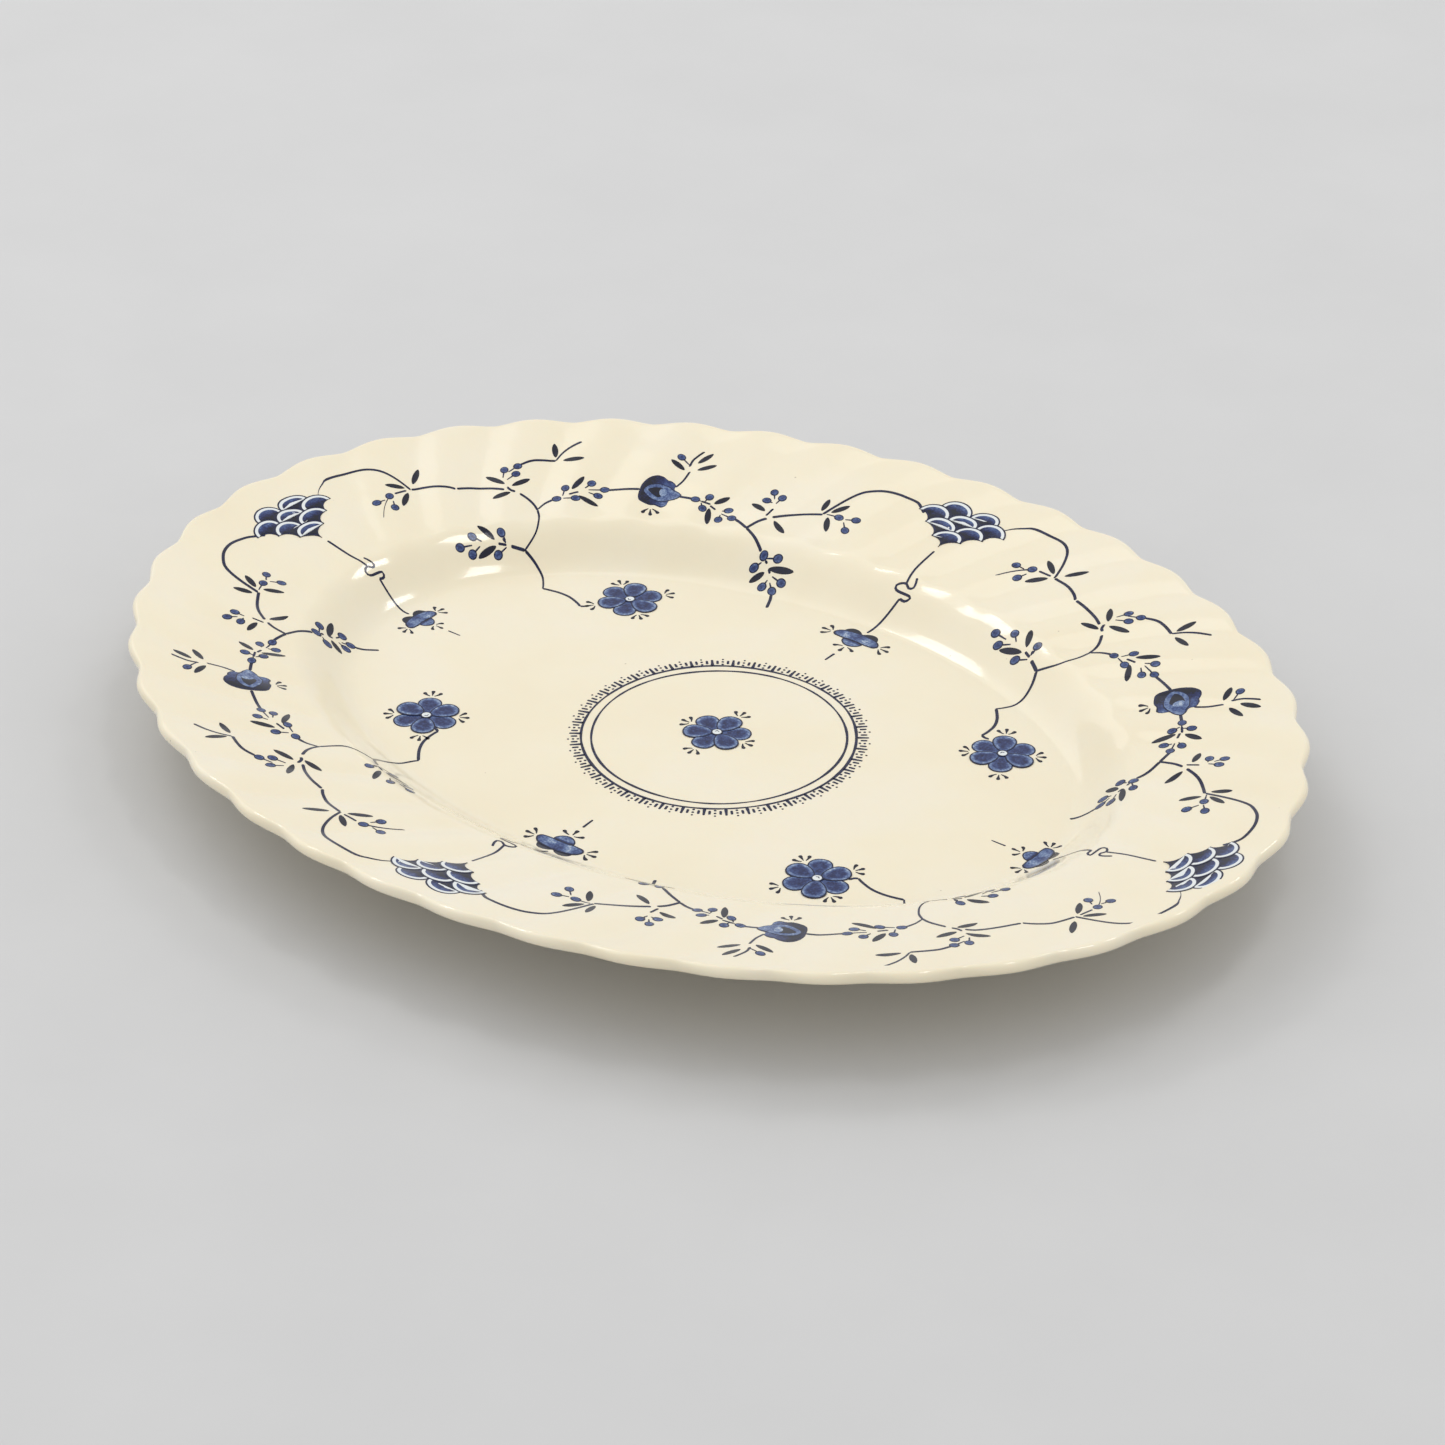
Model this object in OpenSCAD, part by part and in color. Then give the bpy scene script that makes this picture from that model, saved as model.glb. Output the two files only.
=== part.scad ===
// Oval china serving platter with a swirled, fluted rim and a blue printed pattern.
// The ware is one fired piece. Every piece of the print is a separate transfer, laid by hand.
// Origin: middle of the foot ring's resting face. X is the long axis, Z points up.

/* [Platter] */
// Length over the lip, end to end
length = 305; // [280:5:400]
// Width over the lip, side to side
width = 241; // [210:1:320]
// Height of the lip above the table
height = 26; // [24:0.5:34]

/* [Rim and cove] */
// Width of the fluted rim, from the lip in to its shoulder
rim_w = 40; // [36:1:46]
// Rise of the rim from its shoulder to the lip
rim_rise = 8.5; // [4:0.5:11]
// Width of the cove, the curved wall between the shoulder and the flat well
cove_w = 16.5; // [14:0.5:20]
// Number of swirled flutes round the rim
flutes = 40; // [24:4:56]
// Depth of the scallops in the lip's outline
scallop_depth = 1.8; // [0.4:0.1:3]
// Depth of the grooves between the flutes
flute_depth = 0.6; // [0.2:0.1:1]
// Turn of a flute on its way from the lip to the shoulder, in flute widths
swirl = 1; // [0:0.25:2]

/* [Ware] */
// Thickness of the lip
lip_t = 3; // [2:0.25:4]
// Thickness of the well's floor
floor_t = 4.5; // [3:0.25:6]
// Height of the foot ring below the base
foot_h = 3.5; // [2:0.25:6]
// Width of the foot ring's resting face
foot_w = 4.5; // [3:0.5:8]

/* [Print] */
// Thickness of a transfer where it stands on the ware
print_t = 0.2; // [0.1:0.05:0.4]
// Width of the drawn vine
vine_w = 0.8; // [0.5:0.1:1.4]
// Length of a leaf
leaf_l = 5.4; // [3:0.2:7]
// Width of a leaf
leaf_w = 1.8; // [1:0.1:2.5]
// Diameter of a berry
berry_d = 2.3; // [1.2:0.1:3]
// Diameter of a six-petal flower in the well
flower_d = 17; // [12:0.5:20]
// Length of a rose on the border
rose_l = 11; // [8:0.5:13]
// Width of one scale in a scale panel
scale_w = 7.6; // [5:0.2:9]
// Radius of the centre ring's outer line
ring_r = 33.5; // [26:0.5:38]
// Gap between the centre ring's two lines
ring_gap = 2.4; // [1:0.1:4]
// Number of times the pattern of ticks and dots repeats round the centre ring
ring_repeats = 42; // [24:2:56]
// Length of a tick
tick_l = 3.2; // [1.5:0.1:4]

/* [Hidden] */
SECTIONS = [1 : 4];

cream = [0.95, 0.92, 0.83];
navy = [0.10, 0.13, 0.32];
mid_blue = [0.30, 0.38, 0.60];

// Half axes of the lip's oval
a = length / 2;
b = width / 2;
lip_r = lip_t / 2;
slope = rim_rise / (rim_w - lip_r);
shoulder_z = height - rim_rise;
// The flat well starts this far in from the lip, and lies at this height
well_in = rim_w + cove_w;
well_z = foot_h + floor_t;
// The scallops die out this far in from the lip, and the flutes this far in
scallop_in = 9;
flute_in = rim_w + 6;
flute_fade_w = 10;
// Where the groove before the first flute meets the lip, in flute widths
first_groove = -0.73;
foot_in = well_in - 2;
foot_draft = 1;

// Steps of the body's mesh: across one flute, and along the profile
flute_steps = 4;
columns = flutes * flute_steps;
cove_steps = 5;
rim_steps = 3;
lip_steps = 4;
arc_steps = 360;

// How far each hand-laid border section starts off its true place:
// percent of a quarter round, and mm in from the lip
lay = [[-1.6, -3.6], [-3.6, 2.4], [-2.2, 2.2], [1.4, -1], [-1.6, -3.6]];
// How far the centre ring and the flower in it sit off the middle
ring_lay = [3.9, 0];
flower_lay = [2.7, 0.8];
// Middles of the flowers in the well, as shares of the flat well's half axes
flower_share = [[0.67, 0.52], [-0.56, 0.64], [-0.62, -0.54], [0.62, -0.6]];
// Depth at which a border section's places lie straight in from the lip
square_in = 22;
// How far a print sinks into the glaze where the ware is curved
print_sink = 0.15;

// ---- the oval ----

function lip_speed(t) = norm([a * sin(t), b * cos(t)]) * PI / 180;
arc_step = 360 / arc_steps;
arc_table = [
  for (i = 0, run = 0; i <= arc_steps; run = run + lip_speed((i + 0.5) * arc_step) * arc_step, i = i + 1)
    [run, i * arc_step]
];
perimeter = arc_table[arc_steps][0];

// Oval angle at u, the share of the lip's length travelled from +X
function angle_at(u) = 360 * floor(u) + lookup((u - floor(u)) * perimeter, arc_table);

// Travel in mm for one whole u, along the oval that lies s in from the lip
function travel(u, s) =
  let (t = angle_at(u))
  perimeter * norm([(a - s) * sin(t), (b - s) * cos(t)]) / norm([a * sin(t), b * cos(t)]);

// ---- the ware's surface ----

function ease(t) = 3 * t ^ 2 - 2 * t ^ 3;

// Height of the top without its flutes, s in from the lip
function top_z(s) =
  s < rim_w ? height - slope * (s - lip_r) :
  s < well_in ? let (t = (s - rim_w) / cove_w)
    shoulder_z + (well_z - shoulder_z) * ease(t) - slope * cove_w * t * (1 - t) ^ 2 :
  well_z;

function wall_t(s) = lip_t + (floor_t - lip_t) * min(1, s / well_in);

// 0 along the middle of a flute and 1 in a groove; turns counts flute widths
function groove(turns) = 1 - abs(sin(180 * turns)) ^ 1.5;

function swirl_at(s) = swirl * min(1, s / rim_w) / flutes;

function flute_fade(s) =
  s < flute_in - flute_fade_w ? 1 :
  s < flute_in ? 1 - ease((s - flute_in + flute_fade_w) / flute_fade_w) :
  0;

function scallop_fade(s) = s < scallop_in ? (1 - s / scallop_in) ^ 2 : 0;

function groove_at(u, s) = groove((u - swirl_at(s)) * flutes - first_groove);

// The point of the top face at u round and s in from the lip, raised by lift
function on_ware(u, s, lift) =
  let (t = angle_at(u))
  [(a - s) * cos(t), (b - s) * sin(t), top_z(s) - flute_depth * groove_at(u, s) * flute_fade(s) + lift];

// ---- the fired body ----

// Profile from the well, over the lip, under the rim and across the foot: [s, z]
profile = concat(
  [for (k = [0 : cove_steps]) let (s = well_in - cove_w * k / cove_steps) [s, top_z(s)]],
  [for (k = [1 : rim_steps]) let (s = rim_w - (rim_w - lip_r) * k / rim_steps) [s, top_z(s)]],
  [for (k = [1 : lip_steps]) let (h = 180 * k / lip_steps)
    [lip_r - lip_r * sin(h), height - lip_r + lip_r * cos(h)]],
  [for (k = [1 : rim_steps]) let (s = lip_r + (rim_w - lip_r) * k / rim_steps) [s, top_z(s) - wall_t(s)]],
  [for (k = [1 : cove_steps]) let (s = rim_w + (foot_in - foot_draft - rim_w) * k / cove_steps)
    [s, top_z(s) - wall_t(s)]],
  [[foot_in, 0], [foot_in + foot_w, 0], [foot_in + foot_w + foot_draft, foot_h]]
);

function body_point(s, z, column) =
  let (
    turns = column / flute_steps,
    t = angle_at((turns + first_groove) / flutes + swirl_at(s)),
    in = s + scallop_depth * groove(turns) * scallop_fade(s)
  )
  [(a - in) * cos(t), (b - in) * sin(t), z - flute_depth * groove(turns) * flute_fade(s)];

module earthenware_body() {
  rings = len(profile);
  last = (rings - 1) * columns;
  color(cream)
    polyhedron(
      points = [for (p = profile, c = [0 : columns - 1]) body_point(p[0], p[1], c)],
      faces = concat(
        [[for (c = [columns - 1 : -1 : 0]) c]],
        [for (r = [0 : rings - 2], c = [0 : columns - 1])
          let (here = r * columns + c, side = r * columns + (c + 1) % columns)
          each [[here, side, side + columns], [here, side + columns, here + columns]]],
        [[for (c = [0 : columns - 1]) last + c]]
      ),
      convexity = 4
    );
}

// ---- printed strokes on the ware ----

// A stroke is a list of [u, s, half width]. It becomes one thin closed plate that follows the ware.

function stroke_side(stroke, i, sign, lift) =
  let (
    here = stroke[i],
    back = stroke[max(0, i - 1)],
    ahead = stroke[min(len(stroke) - 1, i + 1)],
    v = travel(here[0], here[1]),
    along = [(ahead[0] - back[0]) * v, ahead[1] - back[1]],
    off = [-along[1], along[0]] / norm(along) * here[2] * sign
  )
  on_ware(here[0] + off[0] / v, here[1] + off[1], lift);

function stroke_points(stroke) = [
  for (i = [0 : len(stroke) - 1])
    each [
      stroke_side(stroke, i, -1, -print_sink),
      stroke_side(stroke, i, 1, -print_sink),
      stroke_side(stroke, i, 1, print_t),
      stroke_side(stroke, i, -1, print_t)
    ]
];

// Faces of a stroke with n stations whose first point has the number given
function stroke_faces(n, first) = concat(
  [[first, first + 1, first + 2], [first, first + 2, first + 3]],
  [for (i = [0 : n - 2], k = [0 : 3])
    let (p = first + 4 * i + k, q = first + 4 * i + (k + 1) % 4)
    each [[p, p + 4, q + 4], [p, q + 4, q]]],
  let (end = first + 4 * (n - 1)) [[end, end + 2, end + 1], [end, end + 3, end + 2]]
);

module strokes(list) {
  firsts = [for (i = 0, n = 0; i < len(list); n = n + 4 * len(list[i]), i = i + 1) n];
  polyhedron(
    points = [for (stroke = list) each stroke_points(stroke)],
    faces = [for (i = [0 : len(list) - 1]) each stroke_faces(len(list[i]), firsts[i])],
    convexity = 8
  );
}

// ---- motifs, drawn as strokes ----

// Border places are given as [q, s]: percent of the quarter between two scale panels, and mm in
// from the lip. Section k of the border runs from panel k to the next.

function laid(k, q) = lay[k - 1] + (lay[k] - lay[k - 1]) * q / 100;

// Sideways travel for each mm further in, where the lines of equal u lean along the oval
function lean(u) =
  let (t = angle_at(u)) (a - b) * sin(t) * cos(t) / norm([a * sin(t), b * cos(t)]);

function place(k, q, s) =
  let (
    shift = laid(k, q),
    u = (k - 1 + (q + shift[0]) / 100) / 4,
    in = s + shift[1]
  )
  [u - lean(u) * (in - square_in) / travel(u, in), in];

// Directions are degrees from the way the border runs, turning in from the lip
function away(from, angle, reach) =
  from + [reach * cos(angle) / travel(from[0], from[1]), reach * sin(angle)];

// A stroke that runs straight from a place; widths are half widths at equal steps
function straight(from, angle, reach, widths) = [
  for (i = [0 : len(widths) - 1])
    concat(away(from, angle, reach * i / (len(widths) - 1)), [widths[i]])
];

function leaf(from, angle) = straight(from, angle, leaf_l, [0.12, 0.4, 0.5, 0.1] * leaf_w);

function berry(at) =
  straight(away(at, 180, berry_d / 2), 0, berry_d, [0.2, 0.5, 0.5, 0.2] * berry_d);

// A smooth line through places: points between two places follow a cubic
function spline(p, steps) = [
  for (i = [0 : len(p) - 2], j = [0 : steps - (i < len(p) - 2 ? 1 : 0)])
    let (
      t = j / steps,
      before = p[max(0, i - 1)],
      after = p[min(len(p) - 1, i + 2)],
      go = (p[i + 1] - before) / 2,
      stop = (after - p[i]) / 2
    )
    p[i] + (p[i + 1] - p[i]) * ease(t) + go * t * (1 - t) ^ 2 - stop * t ^ 2 * (1 - t)
];

function vine(k, places) = [
  for (p = spline([for (q = places) place(k, q[0], q[1])], 3)) concat(p, [vine_w / 2])
];

// Three berries that fan out from the end of a stalk
function berry_fan(from, angle) = [
  for (turn = [-38, 0, 38]) berry(away(from, angle + turn, 2.2 * berry_d))
];

// A full sprig: a leaf and berries on each side of its middle, and a berry at each end
function sprig(from, angle, reach) =
  let (middle = away(from, angle, reach * 0.55), spread = 1.25 * berry_d)
  concat(
    [for (end = [0, reach]) berry(away(from, angle, end))],
    [for (side = [-1, 1], at = [0.2, 0.85])
      berry(away(away(from, angle, reach * at), angle + 90 * side, spread))],
    [for (side = [-1, 1]) leaf(away(middle, angle + 90 * side, 0.6), angle + 128 * side)]
  );

// ---- the border ----

function border_lines(k) = [
  vine(k, [[7, 14], [11, 11.5], [15, 14.5], [17, 20], [18.5, 25]]),
  vine(k, [[20, 26.5], [23.5, 28.5], [26, 31]]),
  vine(k, [[27.5, 33], [29, 36.5]]),
  vine(k, [[30, 36], [31, 34.5]]),
  vine(k, [[28.5, 38], [25.5, 42.5]]),
  vine(k, [[39.5, 28.5], [41, 28]]),
  vine(k, [[49, 27], [52, 27]]),
  vine(k, [[60.5, 32], [63, 33.5]]),
  vine(k, [[63.5, 32.5], [64.5, 30], [66.5, 27.5]]),
  vine(k, [[68.5, 25.5], [71.5, 24], [74.5, 23.5]]),
  vine(k, [[75.5, 23], [78.5, 20.5], [80.5, 20]]),
  vine(k, [[82, 18.5], [83, 12], [86, 8], [90, 8.5], [92.5, 10.5]]),
  vine(k, [[63.5, 35.5], [64, 41], [66.5, 45.5]]),
  vine(k, [[66.5, 47], [64.5, 52.5], [64.5, 59]]),
  vine(k, [[64, 60.5], [60, 63.5], [57.5, 68]]),
  vine(k, [[20, 55], [20, 58]])
];

function border_leaves(k) = [
  for (l = [
    [18.5, 24, 215], [19.5, 24, 275], [18, 27.5, 95], [25.5, 33, 140], [28, 31.5, 335],
    [66.5, 25, 200], [68.5, 24.5, 305], [67, 28, 20], [81, 18, 225], [82.5, 18.5, 320], [82, 21.5, 50],
    [60, 13.5, 180], [60.5, 12, 272]
  ])
    leaf(place(k, l[0], l[1]), l[2])
];

function border_berries(k) = [
  for (f = [[18, 26, 185], [26.5, 30, 268], [67, 23.5, 240], [83.5, 20, 12]])
    each berry_fan(place(k, f[0], f[1]), f[2])
];

module vine_print(k) {
  color(navy)
    strokes(concat(
      border_lines(k),
      border_leaves(k),
      border_berries(k),
      sprig(place(k, 33, 33.5), -22, 10),
      sprig(place(k, 53.5, 27), 20, 13),
      sprig(place(k, 69, 45.5), -8, 14),
      sprig(place(k, 25, 43.5), 118, 9)
    ));
}

// A rose seen from the side: five petals round a heart, with its spray towards the lip
module rose_print(k) {
  heart = place(k, 45, 26.5);
  petal = rose_l * 0.34;
  petals = [for (turn = [20 : 72 : 308]) away(heart, turn, rose_l * 0.34)];
  spray = place(k, 42, 16);
  color(mid_blue)
    strokes(concat(
      [for (p = petals) straight(away(p, 180, petal / 2), 0, petal, [0.25, 0.5, 0.5, 0.25] * petal)],
      [straight(away(heart, 180, petal * 0.36), 0, petal * 0.72, [0.18, 0.36, 0.36, 0.18] * petal)],
      [vine(k, [[42.5, 21], [41.5, 19], [41.5, 17]])],
      [for (turn = [200, 250, 330]) leaf(away(spray, turn, 1.2), turn)],
      [for (turn = [60, 90, 120]) straight(away(heart, turn, rose_l * 0.72), turn, 2.2, [0.1, 0.3, 0.3])]
    ));
}

// A panel of overlapping fish scales, in rows of two, three, two and one
module scale_panel_print(k) {
  rows = [[2, 10.5], [3, 13.8], [2, 17.1], [1, 20.4]];
  drop = 2.6;
  color(mid_blue)
    strokes([
      for (row = rows, i = [0 : row[0] - 1])
        let (middle = away(place(k, 0, row[1]), 0, (i - (row[0] - 1) / 2) * (scale_w + 0.4)))
        straight(away(middle, 180, scale_w / 2), 0, scale_w, [0.1, 0.42, 0.5, 0.42, 0.1] * drop)
    ]);
}

// A flower seen from the side, on a stalk that comes down from the scale panel in a double curl
module side_flower_print(k) {
  heart = place(k, 0, 60.5);
  color(mid_blue)
    strokes([
      vine(k, [[0, 25], [0, 30.5], [-0.5, 36.5]]),
      vine(k, [[-1, 38], [-1.5, 40], [0.5, 41], [0.5, 42.5], [-1.5, 44]]),
      vine(k, [[-0.5, 46], [0, 50.5], [0.5, 55]]),
      straight(away(heart, 180, 6), 0, 12, [0.6, 1.5, 1.9, 1.5, 0.6]),
      straight(away(away(heart, 90, 3.2), 180, 2.6), 0, 5.2, [0.5, 1.1, 1.1, 0.5]),
      vine(k, [[0, 69.5], [0, 74.5]])
    ]);
}

// ---- transfers in the flat well ----

module whiskers(reach) {
  for (turn = [-28, 0, 28])
    rotate(turn)
      translate([reach, 0])
        polygon([[0, -0.15], [1.6, -0.45], [2.2, 0], [1.6, 0.45], [0, 0.15]]);
}

module six_petals(diameter, whisker_angles) {
  petal_r = diameter * 0.17;
  linear_extrude(print_t) {
    circle(r = petal_r * 0.6);
    for (turn = [0 : 60 : 300])
      rotate(turn) translate([diameter * 0.34, 0]) circle(r = petal_r - 0.1);
    for (turn = whisker_angles)
      rotate(turn) translate([diameter * 0.1, 0]) whiskers(diameter * 0.5);
  }
}

module centre_flower_print() {
  color(mid_blue)
    translate([flower_lay[0], flower_lay[1], well_z])
      six_petals(flower_d, [0, 90, 180, 270]);
}

module well_flower_print(k) {
  share = flower_share[k - 1];
  color(mid_blue)
    translate([share[0] * (a - well_in), share[1] * (b - well_in), well_z])
      six_petals(flower_d, [45, 135, 225, 315]);
}

// Two lines, and outside them tall ticks with a short tick, dots and a short tick between
module centre_ring_print() {
  line = 0.6;
  step = 360 / ring_repeats;
  color(navy)
    translate([ring_lay[0], ring_lay[1], well_z])
      linear_extrude(print_t) {
        for (r = [ring_r, ring_r - ring_gap])
          difference() {
            circle(r = r, $fn = 96);
            circle(r = r - line, $fn = 96);
          }
        for (i = [1 : ring_repeats])
          rotate(i * step) {
            translate([ring_r - line / 2, -line / 2]) square([tick_l, line]);
            for (turn = [step / 4, step * 3 / 4])
              rotate(turn) translate([ring_r + 0.9, -line / 2]) square([tick_l * 0.5, line]);
          }
      }
}

$fn = 48;

earthenware_body();
centre_ring_print();
centre_flower_print();
for (k = SECTIONS) {
  well_flower_print(k);
  side_flower_print(k);
  scale_panel_print(k);
  rose_print(k);
  vine_print(k);
}
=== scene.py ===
"""Looks of an oval china platter: a cream glazed, fluted body and its blue printed transfers.

Design sizes are in millimetres and become metres where meshes are made. The ware's top face is
described by u, the share of the lip's length travelled counter-clockwise from +X, and by s, the
distance in from the lip. Places on the border are (q, s), where q is the percent of the quarter
between two scale panels. Every print is a set of thin closed plates that follow the ware.
"""

import math

import bpy
import numpy as np
from mathutils import Matrix, Vector


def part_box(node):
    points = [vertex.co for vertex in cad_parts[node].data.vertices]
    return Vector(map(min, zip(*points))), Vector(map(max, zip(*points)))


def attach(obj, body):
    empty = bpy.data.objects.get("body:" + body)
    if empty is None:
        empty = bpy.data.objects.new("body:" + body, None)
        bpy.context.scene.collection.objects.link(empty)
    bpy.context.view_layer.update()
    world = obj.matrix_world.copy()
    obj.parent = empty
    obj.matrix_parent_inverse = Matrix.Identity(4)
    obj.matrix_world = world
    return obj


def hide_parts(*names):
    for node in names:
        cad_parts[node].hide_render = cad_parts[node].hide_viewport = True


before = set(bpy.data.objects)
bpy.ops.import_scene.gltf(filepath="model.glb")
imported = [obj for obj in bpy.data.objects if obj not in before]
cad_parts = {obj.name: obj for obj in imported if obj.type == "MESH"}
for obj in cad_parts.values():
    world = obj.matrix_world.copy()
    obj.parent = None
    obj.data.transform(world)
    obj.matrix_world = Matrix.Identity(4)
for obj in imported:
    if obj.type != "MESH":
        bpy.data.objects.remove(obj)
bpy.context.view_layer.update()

MM = 0.001
SECTIONS = (1, 2, 3, 4)

# ---- sizes of the ware, from the frame and as the part has them ----

body_low, body_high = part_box("earthenware_body")
LIP_A = (body_high.x - body_low.x) / 2 / MM
LIP_B = (body_high.y - body_low.y) / 2 / MM
HEIGHT = body_high.z / MM
WELL_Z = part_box("centre_flower_print")[0].z / MM

RIM_W = 40
RIM_RISE = 8.5
COVE_W = 16.5
WELL_IN = RIM_W + COVE_W
LIP_T = 3
LIP_R = LIP_T / 2
FLOOR_T = 4.5
FOOT_H = WELL_Z - FLOOR_T
FOOT_IN = WELL_IN - 2
FOOT_W = 4.5
SLOPE = RIM_RISE / (RIM_W - LIP_R)
SHOULDER_Z = HEIGHT - RIM_RISE

FLUTES = 40
FLUTE_DEPTH = 0.6
FLUTE_IN = RIM_W + 6
FLUTE_FADE_W = 10
FIRST_GROOVE = -0.73
SWIRL = 1
SCALLOP_DEPTH = 1.8
SCALLOP_IN = 9

# How far each hand-laid border section starts off its true place: percent of a quarter, mm
LAY = np.array([[-1.6, -3.6], [-3.6, 2.4], [-2.2, 2.2], [1.4, -1], [-1.6, -3.6]])
# Depth at which a border section's places lie straight in from the lip
SQUARE_IN = 22


# ---- the oval and the ware's top face ----

ARC_ANGLES = np.linspace(0, 2 * math.pi, 2881)
ARC_STEPS = np.hypot(LIP_A * np.sin(ARC_ANGLES), LIP_B * np.cos(ARC_ANGLES))
ARC_RUN = np.concatenate([[0], np.cumsum((ARC_STEPS[1:] + ARC_STEPS[:-1]) / 2)])
ARC_RUN *= ARC_ANGLES[1]
PERIMETER = ARC_RUN[-1]


def angle_at(u):
    """Oval angle at u."""
    turns = np.floor(u)
    return 2 * math.pi * turns + np.interp((u - turns) * PERIMETER, ARC_RUN, ARC_ANGLES)


def travel(u, s):
    """Travel in mm for one whole u, along the oval that lies s in from the lip."""
    t = angle_at(u)
    inner = np.hypot((LIP_A - s) * np.sin(t), (LIP_B - s) * np.cos(t))
    return PERIMETER * inner / np.hypot(LIP_A * np.sin(t), LIP_B * np.cos(t))


def square(u, s):
    """u for a place s in, straightened for the lines of equal u, which lean along the oval."""
    t = angle_at(u)
    lean = (LIP_A - LIP_B) * np.sin(t) * np.cos(t) / np.hypot(LIP_A * np.sin(t), LIP_B * np.cos(t))
    return u - lean * (s - SQUARE_IN) / travel(u, s)


def ease(t):
    t = np.clip(t, 0, 1)
    return 3 * t**2 - 2 * t**3


def top_z(s):
    """Height of the top face without its flutes."""
    t = np.clip((s - RIM_W) / COVE_W, 0, 1)
    rim = HEIGHT - SLOPE * (s - LIP_R)
    cove = SHOULDER_Z + (WELL_Z - SHOULDER_Z) * ease(t) - SLOPE * COVE_W * t * (1 - t) ** 2
    return np.where(s < RIM_W, rim, np.where(s < WELL_IN, cove, WELL_Z))


def wall_t(s):
    return LIP_T + (FLOOR_T - LIP_T) * np.minimum(1, s / WELL_IN)


def groove(turns):
    """0 along the middle of a flute and 1 in a groove."""
    return 1 - np.abs(np.sin(math.pi * turns)) ** 1.5


def swirl_at(s):
    return SWIRL * np.minimum(1, s / RIM_W) / FLUTES


def flute_drop(turns, s):
    """How far the grooves lower the face."""
    fade = 1 - ease((s - FLUTE_IN + FLUTE_FADE_W) / FLUTE_FADE_W)
    return FLUTE_DEPTH * groove(turns) * fade


def on_ware(u, s, lift):
    """Points of the top face, raised by lift."""
    t = angle_at(u)
    turns = (u - swirl_at(s)) * FLUTES - FIRST_GROOVE
    z = top_z(s) - flute_drop(turns, s) + lift
    return np.stack([(LIP_A - s) * np.cos(t), (LIP_B - s) * np.sin(t), z], axis=-1)


# ---- mesh helpers ----


def make_piece(name, points, faces, shades=None, crease=40):
    """A mesh object from points in mm, with smooth faces and sharp edges past the crease angle."""
    mesh = bpy.data.meshes.new(name)
    mesh.from_pydata((np.asarray(points) * MM).tolist(), [], faces)
    mesh.validate()
    mesh.polygons.foreach_set("use_smooth", [True] * len(mesh.polygons))
    mesh.set_sharp_from_angle(angle=math.radians(crease))
    if shades is not None:
        attribute = mesh.attributes.new("shade", "FLOAT", "POINT")
        attribute.data.foreach_set("value", np.asarray(shades, dtype=np.float32))
    piece = bpy.data.objects.new(name, mesh)
    bpy.context.scene.collection.objects.link(piece)
    return piece


# ---- the fired body ----

FLUTE_STEPS = 24
COLUMNS = FLUTES * FLUTE_STEPS
# Share of the well's size at which a disc's ring has half the columns of the one before
DISC_RINGS = (0.97, 0.92, 0.82, 0.66, 0.46, 0.24)


def body_profile():
    """Profile from the well, over the lip, under the rim and over the foot, as rows of s, z."""
    cove = np.linspace(WELL_IN, RIM_W, 25)
    rim = np.linspace(RIM_W, LIP_R, 45)[1:]
    top = [(s, top_z(s)) for s in np.concatenate([cove, rim])]
    lip = [
        (LIP_R - LIP_R * math.sin(h), HEIGHT - LIP_R + LIP_R * math.cos(h))
        for h in np.linspace(0, math.pi, 13)[1:]
    ]
    under = [
        (s, top_z(s) - wall_t(s))
        for s in np.concatenate([np.linspace(LIP_R, RIM_W, 30)[1:], np.linspace(RIM_W, FOOT_IN - 1, 14)[1:]])
    ]
    round_r = 1.2
    foot = [
        (FOOT_IN + round_r * (1 - math.sin(h)), round_r * (1 - math.cos(h)))
        for h in np.linspace(math.pi / 2, 0, 7)
    ]
    foot += [
        (FOOT_IN + FOOT_W - round_r * (1 - math.sin(h)), round_r * (1 - math.cos(h)))
        for h in np.linspace(0, math.pi / 2, 7)
    ]
    foot.append((FOOT_IN + FOOT_W + 0.6, FOOT_H - 0.6))
    foot.append((FOOT_IN + FOOT_W + 1.2, FOOT_H))
    return np.array(top + lip + under + foot, dtype=float)


def body_points():
    rows = body_profile()
    s = rows[:, :1]
    z = rows[:, 1:]
    turns = np.arange(COLUMNS)[None, :] / FLUTE_STEPS
    t = angle_at((turns + FIRST_GROOVE) / FLUTES + swirl_at(s))
    fade = np.where(s < SCALLOP_IN, (1 - s / SCALLOP_IN) ** 2, 0)
    inset = s + SCALLOP_DEPTH * groove(turns) * fade
    heights = z - flute_drop(turns, s)
    heights = np.maximum(heights, 0)
    return np.stack([(LIP_A - inset) * np.cos(t), (LIP_B - inset) * np.sin(t), heights], axis=-1)


def disc(points, faces, rim, centre_z, flip):
    """Fills an oval rim with rings that have half the columns of the last, down to a centre."""
    outer = rim
    edge = np.array([points[i] for i in rim])
    for share in DISC_RINGS:
        kept = edge[::2]
        edge = kept
        first = len(points)
        points.extend([x * share, y * share, centre_z] for x, y, _ in kept)
        inner = list(range(first, first + len(kept)))
        for i, here in enumerate(inner):
            after = inner[(i + 1) % len(inner)]
            a, b, c = outer[2 * i], outer[2 * i + 1], outer[(2 * i + 2) % len(outer)]
            for face in ([here, a, b], [here, b, c, after]):
                faces.append(face[::-1] if flip else face)
        outer = inner
    centre = len(points)
    points.append([0, 0, centre_z])
    for i, here in enumerate(outer):
        face = [centre, here, outer[(i + 1) % len(outer)]]
        faces.append(face[::-1] if flip else face)


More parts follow.
